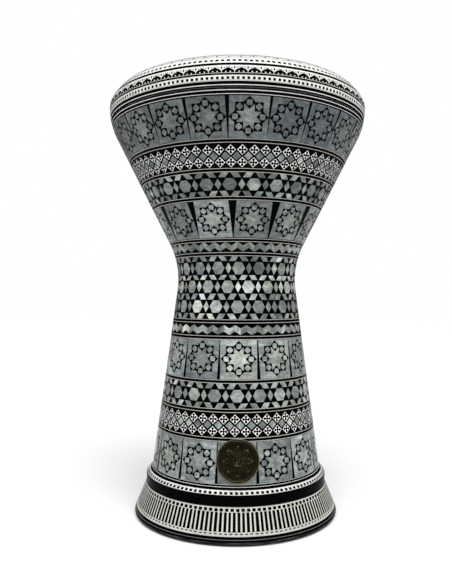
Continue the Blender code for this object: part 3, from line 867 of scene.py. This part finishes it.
def drilled(target, bottom, top):
    """Cut the bolts' holes through a mesh, between two heights."""
    bm = bmesh.new()
    for middle, _, _ in BOLTS:
        made = bmesh.ops.create_cone(bm, cap_ends=True, segments=40, radius1=HOLE, radius2=HOLE,
                                     depth=top - bottom)
        bmesh.ops.translate(bm, verts=made["verts"], vec=(middle.x, middle.y, (bottom + top) / 2))
    cutter, piece = add_object("drill", take_mesh(bm, "drill")), add_object("drilled", target)
    cut = piece.modifiers.new("cut", "BOOLEAN")
    cut.operation, cut.solver, cut.object = "DIFFERENCE", "EXACT", cutter
    bpy.context.view_layer.update()
    seen = piece.evaluated_get(bpy.context.evaluated_depsgraph_get())
    result = bpy.data.meshes.new_from_object(seen)
    for item in (cutter, piece):
        bpy.data.objects.remove(item, do_unlink=True)
    result.name = target.name
    result.shade_smooth()
    result.set_sharp_from_angle(angle=radians(30))
    return result


def middle_of(node):
    """The middle of a piece of the frame, and its box's two corners."""
    low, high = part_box(node)
    return (low + high) / 2, low, high


BOLTS = [middle_of(f"tuning_bolt_{i}") for i in range(1, 9)]

curve = OUT.part(0.0, OUT.along(SHELF_TOP))
outside = list(zip(*curve.at(curve.s, -DEPTH)))
rebate_r, rebate_top = outside[0][0] - GLUE, outside[0][1]
top = rounded_path([
    (outside[-1][0], SHELF_TOP, 0), (BEARING_OUTER, SHELF_TOP, 0), (BEARING_OUTER, BEARING_TOP, 0.0018),
    (BEARING_INNER, BEARING_TOP, 0.0018), (BEARING_INNER, SHELF_UNDERSIDE, 0)], arc=0.0004)
section = [(rebate_r, 0.0), (rebate_r, rebate_top)] + outside[:-1] + top + rounded_path(BORE)[::-1]
mesh = drilled(turned_mesh("shell_cast", [section]), SHELF_UNDERSIDE - 0.002, SHELF_TOP + 0.002)
add_piece("shell_cast", mesh, CAST, "shell", "shell")

curve = OUT.part(OUT.along(RING_BOTTOM), OUT.s[-1])
outside = list(zip(*curve.at(curve.s, -DEPTH)))
section = [(outside[0][0], RING_BOTTOM)] + outside[1:] + [
    (outside[-1][0], LIP_UNDERSIDE), (RING_INNER, LIP_UNDERSIDE), (RING_INNER, RING_BOTTOM)]
mesh = drilled(turned_mesh("tuning_ring_cast", [section]), RING_BOTTOM - 0.002, HOLE_TOP)
add_piece("tuning_ring_cast", mesh, CAST, "tuning_ring", "tuning_ring")

middle, low, high = middle_of("head_hoop")
outer = high.x - 0.00001
section = rounded_path([(HOOP_INNER, middle.z, 0), (HOOP_INNER, low.z, 0.0007), (outer, low.z, 0.0007),
                        (outer, high.z, 0.0007), (HOOP_INNER, high.z, 0.0007), (HOOP_INNER, middle.z, 0)],
                       arc=0.0002)[:-1]
add_piece("head_hoop_rounded", turned_mesh("head_hoop_rounded", [section]), HOOP_LOOK, "tuning_ring",
          "head_hoop")

low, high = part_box("head_film")
collar = high.x
section = rounded_path([(collar, low.z, 0), (collar, high.z, 0.0018), (0.0, high.z, 0)], arc=0.0003)
section += rounded_path([(0.0, high.z - FILM, 0), (collar - FILM, high.z - FILM, 0.00155),
                         (collar - FILM, low.z, 0)], arc=0.0003)
bm = bmesh.new()
bm.from_mesh(turned_mesh("head_film_fine", [section]))
bmesh.ops.remove_doubles(bm, verts=bm.verts, dist=1e-6)  # one point each where the section meets the axis
mesh = take_mesh(bm, "head_film_fine")
mesh.set_sharp_from_angle(angle=radians(40))
add_piece("head_film_fine", mesh, FILM_LOOK, "shell", "head_film")

FACETS = 48  # facets around bolts and washers
HEAD, SHANK = 0.006, 0.003  # height of a bolt's head, and radius of its shank
PITCH, THREAD_DEPTH = 0.001, 0.00035


def loop(radius, height, shape=lambda turn: 1.0):
    """A loop of points round the axis. shape gives each point's share of the radius."""
    turns = [tau * i / FACETS for i in range(FACETS)]
    return [(radius * shape(t) * cos(t), radius * shape(t) * sin(t), height) for t in turns]


def hexagon(turn):
    return cos(pi / 6) / cos((turn % (pi / 3)) - pi / 6)


def knurl(turn):
    return 1 - 0.018 * (round(turn / tau * FACETS) % 2)


def lofted(name, loops, closed=False):
    """A closed mesh through loops of equally many points, capped at both ends or joined end to end."""
    bm = bmesh.new()
    rows = [[bm.verts.new(p) for p in points] for points in loops]
    pairs = list(zip(rows, rows[1:])) + ([(rows[-1], rows[0])] if closed else [])
    for below, above in pairs:
        for i, corner in enumerate(below):
            j = (i + 1) % len(below)
            bm.faces.new((corner, below[j], above[j], above[i]))
    if not closed:
        bm.faces.new(rows[0])
        bm.faces.new(rows[-1])
    bmesh.ops.recalc_face_normals(bm, faces=bm.faces)
    mesh = take_mesh(bm, name)
    mesh.shade_smooth()
    mesh.set_sharp_from_angle(angle=radians(32))
    return mesh


def bolt_mesh(name, seat, tip):
    """A hex socket cap screw, head down, with a knurled head and a rolled thread, from seat to tip."""
    face, socket = seat - HEAD, 0.0025 / cos(pi / 6)
    loops = [loop(socket * 0.2, face + 0.0034), loop(socket, face + 0.0030, hexagon),
             loop(socket, face + 0.0003, hexagon), loop(socket + 0.0004, face), loop(0.0043, face),
             loop(0.0048, face + 0.0003), loop(0.0050, face + 0.0008, knurl),
             loop(0.0050, seat - 0.0006, knurl), loop(0.00475, seat - 0.0001), loop(0.0046, seat),
             loop(SHANK, seat)]
    for k in range(int((tip - seat - 0.0016) / PITCH * 2)):
        row = loop(SHANK if k % 2 == 0 else SHANK - THREAD_DEPTH, 0.0)
        start = seat + 0.0008 + k * PITCH / 2
        loops.append([(x, y, start + PITCH * i / FACETS * 0.98) for i, (x, y, _) in enumerate(row)])
    return lofted(name, loops + [loop(SHANK - 0.0005, tip)])


def add_fastener(node, body, mesh):
    middle = middle_of(node)[0]
    mesh.transform(Matrix.Translation((middle.x, middle.y, 0)))
    add_piece(node + "_fine", mesh, STEEL, body, node)


# a washer's section on one side, from the hole out: radius, and depth under its face
WASHER = [(0.0034, 0.0001), (0.0035, 0.0), (0.0058, 0.0), (0.0060, 0.0002)]

for i, (_, low, high) in enumerate(BOLTS, 1):
    bolt, washer = f"tuning_bolt_{i}", f"washer_{i}"
    add_fastener(bolt, bolt, bolt_mesh(bolt + "_fine", low.z + HEAD, high.z))
    under, over = (corner.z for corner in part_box(washer))
    loops = [loop(r, under + z) for r, z in WASHER] + [loop(r, over - z) for r, z in WASHER[::-1]]
    add_fastener(washer, "shell", lofted(washer + "_fine", loops, closed=True))


# ---- medallion

PETALS = 8


def smooth(edge, value):
    share = np.clip(value / edge, 0.0, 1.0)
    return share * share * (3 - 2 * share)


def medallion_height(r, turn):
    """Relief of the medallion: a rounded rim, a bead line, and an eight-petalled rosette, from 0 to 1."""
    step = tau / PETALS
    bearing = (turn + step / 2) % step - step / 2  # from the middle of the nearest petal
    swing = np.abs(np.cos(PETALS / 2 * turn))
    rim = smooth(0.03, r - 0.94) * (1 - smooth(0.02, r - 0.98) * 0.6)
    line = np.exp(-((r - 0.89) / 0.010) ** 2) * 0.35
    flower = smooth(0.05, 0.70 * swing ** 0.55 - r) * smooth(0.05, r - 0.16) * (0.45 + 0.25 * swing)
    vein = np.exp(-((np.sin(PETALS / 2 * turn) * r) / 0.018) ** 2) * 0.25
    vein = vein * smooth(0.05, 0.55 - r) * smooth(0.05, r - 0.2)
    boss = smooth(0.08, 0.14 - r) * 0.8
    seed = 0.30 * smooth(0.02, 0.055 - np.hypot(r * np.cos(bearing) - 0.66, r * np.sin(bearing)))
    return 0.30 + 0.70 * np.clip(rim + line + flower - vein + boss + seed, 0.0, 1.0)


low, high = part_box("medallion")
size, centre_z = (high.z - low.z) / 2, (high.z + low.z) / 2
centre_turn = atan2((low.x + high.x) / 2, -(low.y + high.y) / 2)


def on_drum(r, turn, proud):
    """Points at a place on the medallion, bent to the drum."""
    z = centre_z + r * size * np.sin(turn)
    s = np.vectorize(OUT.along)(z)
    radius = OUT.at(s)[0]
    nr, nz = OUT.normal(s)
    angle = centre_turn + r * size * np.cos(turn) / radius
    reach = radius + nr * proud
    return np.stack([reach * np.sin(angle), -reach * np.cos(angle), z + nz * proud], axis=-1)


SIDES, CIRCLES = 192, 56  # facets round the medallion, and circles of them on its face
LOWEST, RELIEF = 0.0002, 0.0009
turns = np.arange(SIDES) * tau / SIDES
face_r, face_t = np.meshgrid(np.linspace(0.0, 1.0, CIRCLES + 1)[1:], turns, indexing="ij")
wall_r, wall_t = np.meshgrid([1.006, 1.0, 0.5], turns, indexing="ij")
loops = [*on_drum(face_r, face_t, LOWEST + RELIEF * medallion_height(face_r, face_t)),
         *on_drum(wall_r, wall_t, np.array([[0.0006], [0.00006], [0.00006]]))]
add_piece("medallion_relief", lofted("medallion_relief", loops), BRASS, "shell", "medallion")


# ---- floor, light and camera

def place_object(name, data, location, aim=None):
    """Put a floor, light or camera in the scene. aim is the direction that its back points in."""
    item = add_object(name, data)
    item.location = location
    if aim is not None:
        item.rotation_euler = aim.to_track_quat("Z", "Y").to_euler()
    return item


bm = bmesh.new()
bmesh.ops.create_circle(bm, cap_ends=True, segments=96, radius=6.0)
mesh = take_mesh(bm, "floor")
paint = Nodes("floor", "floor_paint")
paint.set(Base_Color=paint.ramp(paint.noise(paint.place, 5.0, 3.0, 0.5), (0.3, 0.970225), (0.7, 0.985)),
          Roughness=0.7, Specular_IOR_Level=0.1)
mesh.materials.append(paint.material)
floor = place_object("floor", mesh, (0.0, 0.0, -0.0002))


def area_light(name, place, target, size, power):
    light = bpy.data.lights.new(name, "AREA")
    light.shape, light.size, light.size_y = "RECTANGLE", size[0], size[1]
    light.energy = power
    place_object(name, light, place, Vector(place) - Vector(target))


def sun_light(name, azimuth, elevation, spread, strength):
    """Distant light from an azimuth (from the front towards the right) and an elevation, in degrees."""
    light = bpy.data.lights.new(name, "SUN")
    light.energy, light.angle = strength, radians(spread)
    a, e = radians(azimuth), radians(elevation)
    source = Vector((sin(a) * cos(e), -cos(a) * cos(e), sin(e)))
    place_object(name, light, source, source)


sun_light("soft_key", 10, 51, 60, 2.1)
sun_light("soft_fill", -6, 64, 70, 0.95)
area_light("soft_top", (0.0, -0.2, 1.7), (0, 0, 0.2), (1.2, 1.2), 5)
area_light("soft_right", (1.3, -0.5, 0.5), (0, 0, 0.25), (0.35, 1.2), 0.9)
area_light("soft_left", (-1.3, -0.4, 0.5), (0, 0, 0.25), (0.35, 1.2), 0.5)

# the room's light is dimmer than the white backdrop that the camera sees
world = bpy.data.worlds.new("studio")
bpy.context.scene.world = world
world.use_nodes = True
tree = world.node_tree
room, backdrop = tree.nodes["Background"], tree.nodes.new("ShaderNodeBackground")
for node, strength in ((room, 0.30), (backdrop, 1.0)):
    node.inputs["Color"].default_value = (1.0, 1.0, 1.0, 1.0)
    node.inputs["Strength"].default_value = strength
chooser, rays = tree.nodes.new("ShaderNodeMixShader"), tree.nodes.new("ShaderNodeLightPath")
for i, source in enumerate((rays.outputs["Is Camera Ray"], room.outputs[0], backdrop.outputs[0])):
    tree.links.new(source, chooser.inputs[i])
tree.links.new(chooser.outputs[0], tree.nodes["World Output"].inputs["Surface"])

camera_data = bpy.data.cameras.new("camera")
camera_data.lens = 37.24
camera_data.sensor_width = 36.0
camera_data.shift_x = -0.01797945
camera_data.clip_start = 0.05
camera = place_object("camera", camera_data, (0.0, -0.66, 0.2275))
camera.rotation_euler = (radians(90.54), radians(-0.27), 0.0)
bpy.context.scene.camera = camera
bpy.context.scene.view_settings.view_transform = "Standard"
